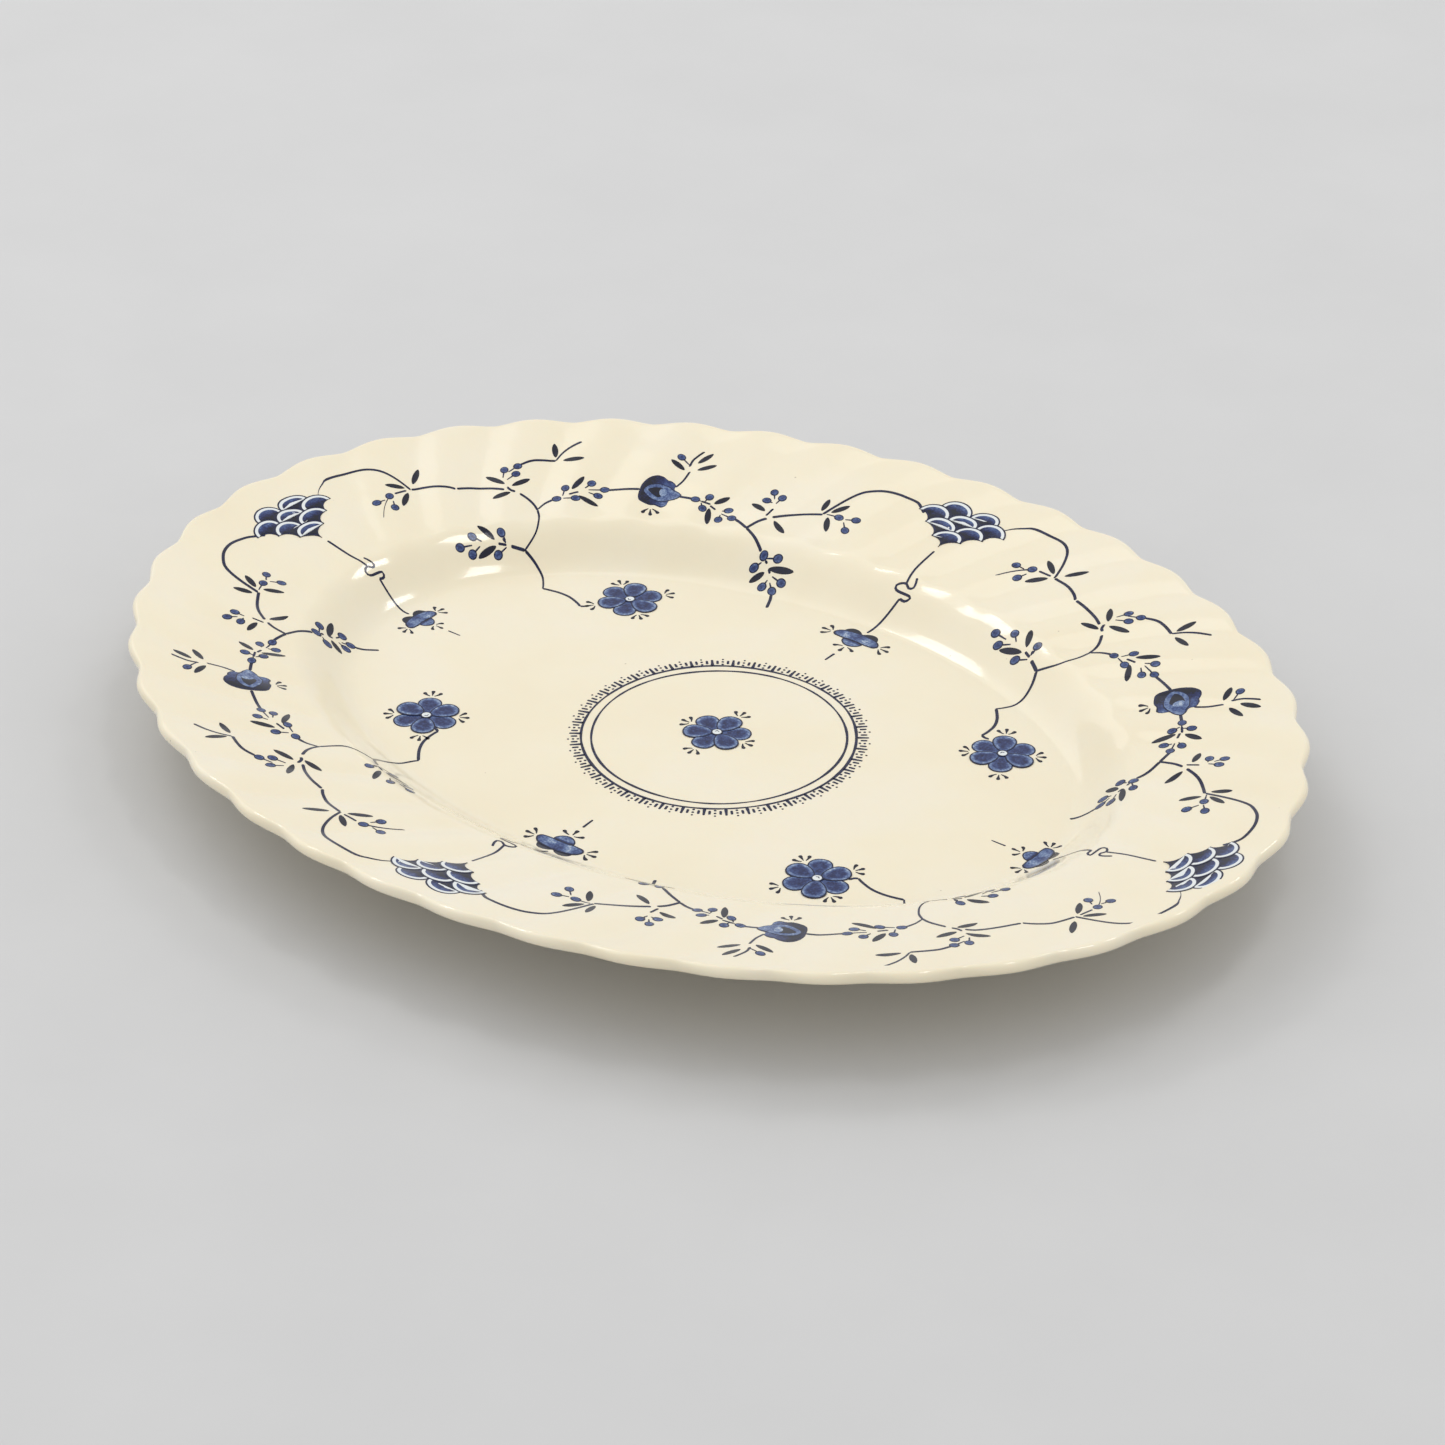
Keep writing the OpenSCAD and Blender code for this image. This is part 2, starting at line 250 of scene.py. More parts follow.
def build_body():
    grid = body_points()
    rows = grid.shape[0]
    points = grid.reshape(-1, 3).tolist()
    faces = []
    for r in range(rows - 1):
        for c in range(COLUMNS):
            here = r * COLUMNS + c
            side = r * COLUMNS + (c + 1) % COLUMNS
            faces.append([here, here + COLUMNS, side + COLUMNS, side])
    disc(points, faces, list(range(COLUMNS)), WELL_Z, False)
    disc(points, faces, list(range((rows - 1) * COLUMNS, rows * COLUMNS)), FOOT_H, True)
    return make_piece("platter_ware", points, faces, crease=70)


# ---- printed plates ----

# A plate's height over the glaze for each layer, and how far it sinks into it
LAYER = 0.02
FIRST_LIFT = 0.04
SINK = 0.08
# Longest step between two points of a plate
STEP = 0.7


class Border:
    """A local frame on the border: x runs the way u does and y runs in from the lip, in mm."""

    def __init__(self, section, q, s):
        shift = LAY[section - 1] + (LAY[section] - LAY[section - 1]) * q / 100
        self.u = (section - 1 + (q + shift[0]) / 100) / 4
        self.s = s + shift[1]
        self.turn = 0

    def turned(self, turn):
        self.turn = math.radians(turn)
        return self

    def lay(self, xy, lift):
        cos, sin = math.cos(self.turn), math.sin(self.turn)
        x = xy[:, 0] * cos - xy[:, 1] * sin
        s = self.s + xy[:, 0] * sin + xy[:, 1] * cos
        return on_ware(square(self.u + x / travel(self.u, s), s), s, lift)


class Well:
    """A local frame on the flat well: x runs at turn degrees from the long axis, in mm."""

    def __init__(self, at, turn=0):
        self.at = at
        self.turn = math.radians(turn)

    def lay(self, xy, lift):
        cos, sin = math.cos(self.turn), math.sin(self.turn)
        x = self.at[0] + xy[:, 0] * cos - xy[:, 1] * sin
        y = self.at[1] + xy[:, 0] * sin + xy[:, 1] * cos
        return np.stack([x, y, np.full(len(x), WELL_Z + lift)], axis=-1)


class Section:
    """A whole border section: x is q and y is s, so strokes are given straight in places."""

    def __init__(self, section):
        self.section = section

    def lay(self, qs, lift):
        shift = LAY[self.section - 1] + (LAY[self.section] - LAY[self.section - 1]) * qs[:, :1] / 100
        u = (self.section - 1 + (qs[:, 0] + shift[:, 0]) / 100) / 4
        s = qs[:, 1] + shift[:, 1]
        return on_ware(square(u, s), s, lift)


class Print:
    """Collects the plates of one colour of one printed transfer."""

    def __init__(self):
        self.points = []
        self.faces = []
        self.shades = []
        self.count = 0

    def plate(self, spot, xy, faces, rim, layer, shade):
        """Adds a closed plate from its flat points, its faces and the loop of its rim."""
        size = len(xy)
        lift = FIRST_LIFT + LAYER * layer
        top = spot.lay(xy, lift)
        self.points.append(top)
        self.points.append(spot.lay(xy, -SINK))
        ahead = top[faces[0][1]] - top[faces[0][0]]
        across = top[faces[0][2]] - top[faces[0][0]]
        facing_up = np.cross(ahead, across)[2] > 0
        here = self.count
        sides = [
            [rim[i], rim[(i + 1) % len(rim)], rim[(i + 1) % len(rim)] + size, rim[i] + size]
            for i in range(len(rim))
        ]
        below = [[i + size for i in reversed(face)] for face in faces]
        for face in list(faces) + below:
            self.faces.append([here + i for i in (face if facing_up else reversed(face))])
        turned = self.rim_runs_with(faces, rim)
        for face in sides:
            outward = reversed(face) if facing_up == turned else face
            self.faces.append([here + i for i in outward])
        self.shades.append(np.tile(shade, 2))
        self.count += 2 * size

    def band(self, spot, xy, faces, inner, outer, shade):
        """Adds a closed band that has an inner and an outer rim."""
        size = len(xy)
        self.points.append(spot.lay(xy, FIRST_LIFT))
        self.points.append(spot.lay(xy, -SINK))
        here = self.count
        n = len(inner)
        made = list(faces)
        made += [[i + size for i in reversed(face)] for face in faces]
        for i in range(n):
            j = (i + 1) % n
            made.append([inner[i], inner[j], inner[j] + size, inner[i] + size])
            made.append([outer[j], outer[i], outer[i] + size, outer[j] + size])
        self.faces += [[here + i for i in face] for face in made]
        self.shades.append(np.full(2 * size, float(shade)))
        self.count += 2 * size

    @staticmethod
    def rim_runs_with(faces, rim):
        """True if the faces pass the rim's first edge in the rim's own direction."""
        for face in faces:
            for i, point in enumerate(face):
                if point == rim[0] and face[(i + 1) % len(face)] == rim[1]:
                    return True
        return False

    def piece(self, name):
        points = np.concatenate(self.points)
        return make_piece(name, points, self.faces, np.concatenate(self.shades))


def spline(places, steps):
    """A smooth line through places."""
    p = np.asarray(places, dtype=float)
    rows = []
    for i in range(len(p) - 1):
        go = (p[i + 1] - p[max(0, i - 1)]) / 2
        stop = (p[min(len(p) - 1, i + 2)] - p[i]) / 2
        for t in np.arange(steps) / steps:
            bend = go * t * (1 - t) ** 2 - stop * t**2 * (1 - t)
            rows.append(p[i] + (p[i + 1] - p[i]) * ease(t) + bend)
    rows.append(p[-1])
    return np.array(rows)


def ring_spline(places, steps):
    """A smooth closed line through places."""
    p = np.asarray(places, dtype=float)
    wrapped = np.concatenate([p[-1:], p, p[:2]])
    return spline(wrapped, steps)[steps : steps * (len(p) + 1)]


def blob(ink, spot, outline, heart, layer, shade, rings=4):
    """A filled shape; shade is a value, or a function of the points and of how deep they lie."""
    outline = np.asarray(outline, dtype=float)
    heart = np.asarray(heart, dtype=float)
    n = len(outline)
    depths = np.arange(rings) / rings
    xy = np.concatenate([heart + (outline - heart) * (1 - depth) for depth in depths] + [[heart]])
    deep = np.concatenate([np.full(n, depth) for depth in depths] + [[1.0]])
    faces = []
    for r in range(rings - 1):
        for i in range(n):
            j = (i + 1) % n
            faces.append([r * n + i, r * n + j, r * n + n + j, r * n + n + i])
    last = (rings - 1) * n
    faces += [[last + i, last + (i + 1) % n, rings * n] for i in range(n)]
    values = shade(xy, deep) if callable(shade) else np.full(len(xy), float(shade))
    ink.plate(spot, xy, faces, list(range(n)), layer, values)


def ribbon(ink, spot, path, half_widths, layer, shade, scale=None):
    """A stroke with round ends; scale holds mm per unit of the path's x and y at each point."""
    path = np.asarray(path, dtype=float)
    scale = np.ones_like(path) if scale is None else scale
    widths = np.asarray(half_widths, dtype=float)
    steps = np.diff(path, axis=0) * (scale[1:] + scale[:-1]) / 2
    flat = np.concatenate([[[0, 0]], np.cumsum(steps, axis=0)])
    run = np.concatenate([[0], np.cumsum(np.hypot(*np.diff(flat, axis=0).T))])
    length = run[-1]
    w0, w1 = min(widths[0], length / 3), min(widths[-1], length / 3)
    body = np.linspace(w0, length - w1, max(3, int(length / STEP) + 1))
    cap = np.array([0.03, 0.16, 0.45])
    stations = np.concatenate([w0 * cap, body, length - w1 * cap[::-1]])
    width_at = np.interp(stations, np.linspace(0, length, len(widths)), widths)
    start_round = np.sqrt(np.clip(1 - np.clip(1 - stations / w0, 0, 1) ** 2, 0.05, 1))
    end_round = np.sqrt(np.clip(1 - np.clip(1 - (length - stations) / w1, 0, 1) ** 2, 0.05, 1))
    width_at = width_at * start_round * end_round
    centre = np.stack([np.interp(stations, run, path[:, k]) for k in (0, 1)], axis=-1)
    unit = np.stack([np.interp(stations, run, scale[:, k]) for k in (0, 1)], axis=-1)
    along = np.gradient(centre * unit, axis=0)
    along /= np.hypot(*along.T)[:, None]
    off = np.stack([-along[:, 1], along[:, 0]], axis=-1) * width_at[:, None] / unit
    xy = np.stack([centre - off, centre, centre + off], axis=1).reshape(-1, 2)
    n = len(stations)
    faces = []
    for i in range(n - 1):
        for k in (0, 1):
            faces.append([3 * i + k, 3 * i + k + 3, 3 * i + k + 4, 3 * i + k + 1])
    rim = [3 * i for i in range(n)] + [3 * n - 2] + [3 * i + 2 for i in reversed(range(n))] + [1]
    ink.plate(spot, xy, faces, rim, layer, np.full(len(xy), float(shade)))


def oval(at, long_half, wide_half, turn=0, points=20):
    t = np.linspace(0, 2 * math.pi, points, endpoint=False)
    x, y = long_half * np.cos(t), wide_half * np.sin(t)
    c, s = math.cos(math.radians(turn)), math.sin(math.radians(turn))
    return np.stack([at[0] + x * c - y * s, at[1] + x * s + y * c], axis=-1)


# ---- shades of the printed colours: 0 is bare, and up to 1 the ink gets denser ----

BARE = 0.0
PALE = 0.3
MIDDLE = 0.5
DEEP = 0.72
INK = 0.92
BLACK_INK = 1.0

LINE = 0.4
TWIG = 0.3


# ---- motifs ----


def whiskers(line, spot, root, angle, spread, reach=2.5):
    """Three drops that fan out from a root, fat at their far ends."""
    for turn in (-spread, 0, spread):
        heading = math.radians(angle + turn)
        along = np.array([math.cos(heading), math.sin(heading)])
        bend = np.array([-along[1], along[0]]) * 0.22 * np.sign(turn)
        start = np.asarray(root) + along * 0.7
        path = spline([start, start + along * reach * 0.5 + bend, start + along * reach], 4)
        ribbon(line, spot, path, [0.12, 0.18, 0.3, 0.5, 0.54], 0, BLACK_INK)


def leaf(line, section, root, tip):
    """An almond leaf between two border places."""
    spot, length, heading = between(section, root, tip)
    t = np.linspace(0, math.pi, 12)
    x = length * (1 - np.cos(t)) / 2
    y = 0.86 * np.sin(t) ** 1.25
    upper = np.stack([x, -y], axis=-1)
    lower = np.stack([x, y * 0.9], axis=-1)[1:-1][::-1]
    outline = np.concatenate([upper, lower])
    blob(line, spot.turned(heading), outline, (length * 0.5, 0), 0, BLACK_INK, rings=3)


def between(section, root, tip):
    """A frame at the root, and the distance in mm and the heading in degrees to the tip."""
    spot = Border(section, *root)
    dx = (tip[0] - root[0]) / 400 * travel(spot.u, spot.s)
    dy = tip[1] - root[1]
    return spot, math.hypot(dx, dy), math.degrees(math.atan2(dy, dx))


def berry(line, tint, section, at, root=None):
    """A berry with its outline, on a short stalk."""
    spot = Border(section, *at)
    heading = 0
    if root is not None:
        _, length, heading = between(section, at, root)
        path = np.array([[0.7, 0], [length * 0.7, 0], [length, 0]])
        ribbon(line, spot.turned(heading), path, [0.2, 0.2, 0.14], 0, INK)
    blob(line, spot.turned(heading), oval((0, 0), 1.3, 1.12), (0, 0), 0, INK, rings=2)
    blob(tint, spot, oval((-0.05, 0.02), 1.0, 0.82), (0, 0), 1, shaded(MIDDLE, DEEP), rings=2)


def shaded(at_rim, at_heart):
    def shade(_, deep):
        return at_rim + (at_heart - at_rim) * ease(deep * 1.4 - 0.2)

    return shade


def stroke(line, section, places, half_width, shade=INK):
    """A smooth stroke of even width through border places."""
    path = spline(places, 6)
    u = (section - 1 + path[:, 0] / 100) / 4
    scale = np.stack([travel(u, path[:, 1]) / 400, np.ones(len(path))], axis=-1)
    ribbon(line, Section(section), path, [half_width, half_width], 0, shade, scale)


# ---- the vine ----

STEMS = [
    [
        (5.9, 16), (6.9, 14.3), (8.1, 12.6), (10.5, 11.7), (12.8, 12.2), (14.7, 13.8),
        (15.9, 15.6), (17.2, 19.4), (19, 26.2),
    ],
    [(19, 26.4), (21.9, 27.5), (23.9, 28.8), (26, 31)],
    [(26.7, 31.9), (27.8, 33.8), (29, 37)],
    [(29, 37), (30.3, 35.5), (31.4, 34.3)],
    [(29, 37), (27, 39.6), (25.2, 42.7)],
    [(38.7, 29), (41, 28.2)],
    [(47.2, 26.9), (52.2, 27.1)],
    [(60.6, 31.2), (62, 32.4), (63.3, 34.4)],
    [(63.3, 34.5), (63.7, 32.4), (64.5, 30.2), (65.6, 28.2)],
    [(66.2, 27.3), (66.8, 26.8), (67.3, 25.4)],
    [(67.8, 26.2), (69.9, 24.8), (72.4, 23.7), (74.8, 23.5)],
    [(75, 23.5), (76.2, 22.2), (78.4, 20.8), (81.2, 20)],
    [
        (81.3, 20), (82.3, 15.2), (83.6, 11.2), (85.4, 8.8), (87.8, 7.9), (90.6, 8),
        (92, 9.4), (93.3, 11.3), (94.2, 13.4),
    ],
    [(63.3, 34.5), (63.3, 38), (64.3, 42.4), (66.7, 46.1)],
    [(66.7, 46.1), (69.2, 44.9)],
    [(66.7, 46.1), (65.2, 49), (64.2, 52.9), (64.4, 57.1), (64.8, 59.6)],
    [(64.8, 59.6), (61.6, 62.1), (59.3, 64.7), (57.7, 67.8), (57, 69.7)],
    [(57, 69.7), (56, 69.8), (55, 69.1)],
    [(20.8, 52), (20.4, 54), (19.8, 58)],
    [(64.5, 16.9), (62.9, 15.4), (61.3, 15.1), (59.5, 15.4)],
    [(59.5, 15.4), (58.6, 12.7), (57.4, 10.3), (55.9, 8.3)],
    [(85.3, 21.5), (86.3, 23.1), (87.4, 25.3), (88.4, 27.8)],
]

TWIGS = [
    [(27, 31), (26.5, 28)],
    [(35, 31.5), (36, 30.5)],
    [(36, 30), (37.5, 29.5)],
    [(23.5, 45), (24, 44.5)],
    [(22.5, 47), (23, 46)],
    [(56.5, 28.5), (58, 29.5)],
    [(70, 44), (70.5, 43)],
    [(70, 44.5), (71.5, 44)],
    [(82, 20), (84, 20.5)],
]

LEAVES = [
    ((18, 25), (16, 21)),
    ((19.5, 25), (19.5, 20)),
    ((18, 27), (17, 32)),
    ((27.5, 29.5), (30, 27.5)),
    ((25.5, 32), (23, 36)),
    ((35.5, 29.5), (33.5, 26)),
    ((36, 31.5), (35.5, 37.5)),
    ((23, 46), (18.5, 45.5)),
    ((23.5, 47), (25.5, 50)),
    ((57.5, 27.5), (55.5, 22.5)),
    ((56.5, 30), (53.5, 33.5)),
    ((66.5, 25), (63.5, 22.5)),
    ((67.5, 24), (70, 20)),
    ((67, 27.5), (70, 29)),
    ((59.5, 14), (59.5, 8.5)),
    ((58.5, 15.5), (55.5, 15)),
    ((80.5, 18), (78.5, 13)),
    ((82, 19), (84.5, 16.5)),
    ((82, 21), (84, 25.5)),
    ((72, 43), (74.5, 38.5)),
    ((72, 44.5), (76, 46.5)),
]

# Each berry and the place that its stalk comes from
BERRIES = [
    ((16.5, 26), (18.5, 26)),
    ((14, 25), (15.5, 26)),
    ((14.5, 29.5), (15.5, 27)),
    ((26, 23.5), (26.5, 26)),
    ((27.5, 22), (27, 24.5)),
    ((28, 25.5), (27, 26)),
    ((32, 34), (34, 32.5)),
    ((33, 31), (34, 31.5)),
    ((34, 35), (34, 33)),
    ((36.5, 27.5), (37, 29.5)),
    ((38.5, 29), (37.5, 29.5)),
    ((37, 32), (37.5, 30)),
    ((24.5, 43.5), (24.5, 44.5)),
    ((22, 43.5), (24, 44)),
    ((25.5, 46.5), (24.5, 45)),
    ((20, 48.5), (22, 47.5)),
    ((21, 51), (22, 49)),
    ((23, 50.5), (22.5, 48.5)),
    ((52.5, 27), (55, 27.5)),
    ((54.5, 25), (55.5, 27)),
    ((53.5, 29.5), (55, 28.5)),
    ((57, 31), (59, 31)),
    ((58.5, 27), (59, 30)),
    ((60, 31), (60.5, 31)),
    ((65.5, 20.5), (67, 22.5)),
    ((67, 18.5), (67.5, 21.5)),
    ((65, 17.5), (66.5, 19.5)),
    ((85, 21), (85.5, 22)),
    ((87.5, 22), (86, 22)),
    ((85.5, 25.5), (85, 23)),
    ((70.5, 41.5), (70, 43.5)),
    ((72, 46.5), (70, 45)),
    ((76, 41.5), (74.5, 43)),
    ((77, 45.5), (75, 44)),
    ((79, 43.5), (76.5, 43.5)),
]


def vine(section, line, tint):
    for places in STEMS:
        stroke(line, section, places, LINE)
    for places in TWIGS:
        stroke(line, section, places, TWIG)
    for root, tip in LEAVES:
        leaf(line, section, root, tip)
    for at, root in BERRIES:
        berry(line, tint, section, at, root)


# ---- the rose ----

ROSE_OUTER = [
    (5.0, 2.5), (4.9, 0), (4.5, -2.4), (3.1, -4.9), (1.1, -6.1), (-0.7, -5.8), (-2, -4.8), (-3, -4.6),
    (-4.2, -3.4), (-4.1, -1.6), (-5.5, -0.4), (-6.1, 1), (-4.8, 2.3), (-3.2, 3), (-2.7, 4.8),
    (-1.5, 5.8), (0.2, 5.2), (1.6, 5.4), (3.3, 4.8), (4.5, 4),
]
ROSE_INNER = [
    (4, 0.3), (2.8, -2), (0.4, -3), (-1.4, -2.8), (-3.3, -2), (-4.3, -0.9), (-5.6, -0.2), (-6.2, 1),
    (-4.7, 2.4), (-3.1, 3), (-1.7, 3.6), (0, 3.7), (2.1, 2.7),
]
ROSE_EYE = [
    (2.7, -0.2), (1.5, -1.2), (0.2, -1.5), (-1.2, -1.4), (-0.8, 0), (-1, 1.4), (-0.2, 2.1), (1.3, 1.3),
]


def shrunk(outline, heart, margin):
    """An outline drawn in by a margin towards its heart."""
    outline = np.asarray(outline, dtype=float)
    away = outline - heart
    reach = np.hypot(*away.T)[:, None]
    return heart + away * (reach - margin) / reach


def rose(section, line, tint):
    spot = Border(section, 44.4, 27)
    outer = ring_spline(ROSE_OUTER, 4)
    inner = ring_spline(ROSE_INNER, 4)
    heart = np.array([0.0, 0.0])

    def folds(xy, _):
        return PALE + 0.22 + 0.5 * ease((xy[:, 0] + 2) / 5) + 0.12 * ease(-xy[:, 1] / 6)

    def cup(xy, deep):
        return PALE + 0.1 + 0.2 * ease(deep)

    blob(line, spot, outer, heart, 0, INK, rings=8)
    blob(tint, spot, shrunk(outer + [-0.25, 0], heart, 0.42), heart, 1, folds, rings=8)
    blob(line, spot, inner, heart, 2, INK, rings=6)
    blob(tint, spot, shrunk(inner, heart, 0.32), heart, 3, cup, rings=6)
    blob(line, spot, ring_spline(ROSE_EYE, 4), (0.6, 0), 4, BLACK_INK, rings=4)
    blob(tint, spot, oval((-1.3, 0.1), 1.0, 1.5), (-1.3, 0.1), 5, PALE, rings=3)
    whiskers(line, spot, (1.2, 6.2), 97, 42)
    stroke(line, section, [(42, 24.4), (41.2, 21.8), (40.8, 19.4), (40.6, 17.8)], TWIG + 0.05)
    stroke(line, section, [(40.8, 15.8), (40.6, 13.4), (40, 11.2), (39.4, 9.4)], TWIG + 0.05)
    berry(line, tint, section, (42.2, 12.8), (40.8, 15.4))
    for root, tip in [
        ((39.8, 14.2), (38, 10)),
        ((39.6, 17), (37, 14.8)),
        ((41.4, 17.4), (43.6, 14.2)),
    ]:
        leaf(line, section, root, tip)


# ---- the scale panel ----

SCALE_W = 8.9
SCALE_PITCH = 3.5
# Dome tops of the rows, and the number of scales in each
SCALE_ROWS = [(8, 2), (11.5, 3), (15, 2), (18.5, 1)]


def scale_outline(half, height):
    """A scale: a dome to the lip's side, and a point between two hollow sides."""
    dome = [(half * math.cos(t), height - height * math.sin(t)) for t in np.linspace(0, math.pi, 17)]
    left = [
        (-half * (1 - math.sin(t)), height + height * (1 - math.cos(t)))
        for t in np.linspace(0, math.pi / 2, 9)[1:]
    ]
    right = [(-x, y) for x, y in reversed(left[:-1])]
    return np.array(dome + left + right)


def scale_panel(section, line, tint):
    half = SCALE_W / 2
    for row, (top, count) in enumerate(SCALE_ROWS):
        for i in range(count):
            spot = Border(section, 0, top)
            x = (i - (count - 1) / 2) * SCALE_W
            layer = 3 * row
            at = np.array([x, 0])

            def mottled(xy, _, x=x):
                return MIDDLE + 0.04 + 0.5 * ease((xy[:, 1] - 1.5) / 3) + 0.08 * (xy[:, 0] - x) / half

            outline = scale_outline(half + 0.15, SCALE_PITCH + 0.1)
            blob(line, spot, outline + at, at + (0, SCALE_PITCH), layer, INK, rings=5)
            rim = oval((x, SCALE_PITCH + 0.1), half - 0.3, SCALE_PITCH - 0.35, points=32)
            rim = rim[rim[:, 1] < SCALE_PITCH + 0.6]
            rim = np.roll(rim, -int(np.argmax(np.hypot(*np.diff(rim, axis=0, append=rim[:1]).T))) - 1, axis=0)
            blob(tint, spot, rim, (x, SCALE_PITCH - 1.2), layer + 1, BARE, rings=3)
            dome = scale_outline(half - 1.15, SCALE_PITCH - 1.15) + at + (0, 1.25)
            blob(tint, spot, dome, at + (0, SCALE_PITCH), layer + 2, mottled, rings=4)


# ---- the side-view flower ----

STALK = [(-0.1, 27.5), (0, 33.5), (-0.1, 36.6), (-0.6, 40.6)]
CURL = [
    (-1.5, 38), (-2, 39.7), (-2.1, 41), (-1.4, 41.4), (-0.6, 40.6), (0.3, 41), (0.8, 41.9),
    (0.2, 42.8), (-2.3, 43), (-2.6, 43.6), (-2, 44.4), (-1, 44.2),
]
LOWER_STALK = [(-1, 44.2), (-0.6, 47.3), (-0.2, 50.4), (0.1, 53.1), (0.2, 55.4)]
BODY_HALF = [
    (0, 0.1), (2.4, 0.3), (4.4, 0.7), (5.6, 1.5), (6.2, 2.8), (5.6, 3.9), (4.2, 4.2), (2.8, 4.3), (1.4, 4.1),
]
SHOULDER = [(0.1, 0.6), (0.7, -0.5), (2, -1.2), (3.4, -1.1), (4.3, -0.2), (4.5, 1), (2.4, 1.4)]
APRON = [(2.5, 4), (2.4, 5.5), (0.9, 6.8), (-0.9, 6.8), (-2.4, 5.5), (-2.5, 4), (0, 3.4)]


def side_flower(section, line, tint):
    spot = Border(section, 0.4, 56.8)
    right_half = np.array(BODY_HALF)
    left_half = (right_half * [-1, 1])[1:][::-1]
    body = ring_spline(np.concatenate([right_half, [(0, 4.2)], left_half]), 3)
    apron = ring_spline(APRON, 4)

    def petals(xy, _):
        return PALE + 0.22 - 0.1 * ease((xy[:, 1] - 0.5) / 3) + 0.12 * np.cos(xy[:, 0] * 1.1)

    def hanging(xy, _):
        return PALE + 0.1 + 0.6 * ease((5.2 - xy[:, 1]) / 1.2)

    stroke(line, section, STALK, TWIG)
    stroke(line, section, CURL, TWIG)
    stroke(line, section, LOWER_STALK, TWIG)
    for side in (1, -1):
        blob(line, spot, ring_spline(SHOULDER, 4) * [side, 1], (2.6 * side, 0.3), 0, BLACK_INK)
    blob(line, spot, apron, (0, 5), 1, INK)
    blob(tint, spot, shrunk(apron, (0, 5), 0.36), (0, 5), 2, hanging)
    blob(line, spot, body, (0, 2.3), 3, INK, rings=6)
    blob(tint, spot, body * [0.93, 0.8] + [0, 0.5], (0, 2.3), 4, petals, rings=6)
    whiskers(line, spot, (6.3, 2.9), 0, 46)
    whiskers(line, spot, (-6.3, 2.9), 180, 46)
    whiskers(line, spot, (0, 7.2), 90, 62, reach=2.4)
    ribbon(line, spot, np.array([[0, 12], [0, 16]]), [0.3, 0.22], 0, INK)


# ---- the six-petal flowers ----

PETAL_TURNS = (30, 150, 270, 90, 210, 330)


def six_petals(line, tint, spot, whisker_angles):
    t = np.linspace(0, 2 * math.pi, 28, endpoint=False)
    outline = np.stack([4.75 + 3.75 * np.cos(t), 2.95 * np.sin(t) * (1 + 0.24 * np.cos(t))], axis=-1)
    heart = np.array([5.0, 0])

    def petal(xy, deep):
        reach = np.hypot(*xy.T)
        return PALE + 0.06 + 0.36 * ease(deep * 2.6 - 0.25) + 0.2 * ease((3.6 - reach) / 2)

    for layer, turn in enumerate(PETAL_TURNS):
        c, s = math.cos(math.radians(turn)), math.sin(math.radians(turn))
        spin = np.array([[c, s], [-s, c]])
        blob(line, spot, outline @ spin, heart @ spin, 2 * layer, INK, rings=4)
        inner = shrunk(outline, heart, 0.36)

        def turned_petal(xy, deep, spin=spin):
            return petal(xy @ spin.T, deep)

        blob(tint, spot, inner @ spin, heart @ spin, 2 * layer + 1, turned_petal, rings=7)
    top = 2 * len(PETAL_TURNS)
    blob(line, spot, oval((0, 0), 1.45, 1.45), (0, 0), top, INK, rings=2)
    blob(tint, spot, oval((0, 0), 1.1, 1.1), (0, 0), top + 1, BARE, rings=2)
    ribbon(line, spot, oval((0, 0), 0.5, 0.5)[2:12], [0.1, 0.16, 0.1], top + 2, INK)
    for angle in whisker_angles:
        heading = math.radians(angle)
        reach = 8.9 if angle % 180 else 7.6
        whiskers(line, spot, (reach * math.cos(heading), reach * math.sin(heading)), angle, 46, reach=2.4)


# ---- the centre ring ----

RING_R = 33.5
RING_GAP = 2.4
RING_PERIODS = 42
# Distance outside the outer line and radius of each dot in a column
RING_DOTS = [(0.8, 0.34), (2, 0.34), (3.2, 0.28)]


def ring_stroke(line, spot, radius, half):
    """A closed line, a little uneven as an engraver cuts it."""
    n = 240
    t = np.linspace(0, 2 * math.pi, n, endpoint=False)
    uneven = half * (1 + 0.16 * np.sin(3 * t + 1) + 0.12 * np.sin(11 * t) + 0.08 * np.sin(29 * t))
    drift = 0.1 * np.sin(5 * t + radius)
    circle = np.stack([np.cos(t), np.sin(t)], axis=-1)
    rows = [circle * (radius + drift + side * uneven)[:, None] for side in (-1, 0, 1)]
    xy = np.stack(rows, axis=1).reshape(-1, 2)
    faces = []
    for i in range(n):
        j = (i + 1) % n
        for k in (0, 1):
            faces.append([3 * i + k, 3 * i + k + 1, 3 * j + k + 1, 3 * j + k])
    line.band(spot, xy, faces, [3 * i for i in range(n)], [3 * i + 2 for i in range(n)], INK)


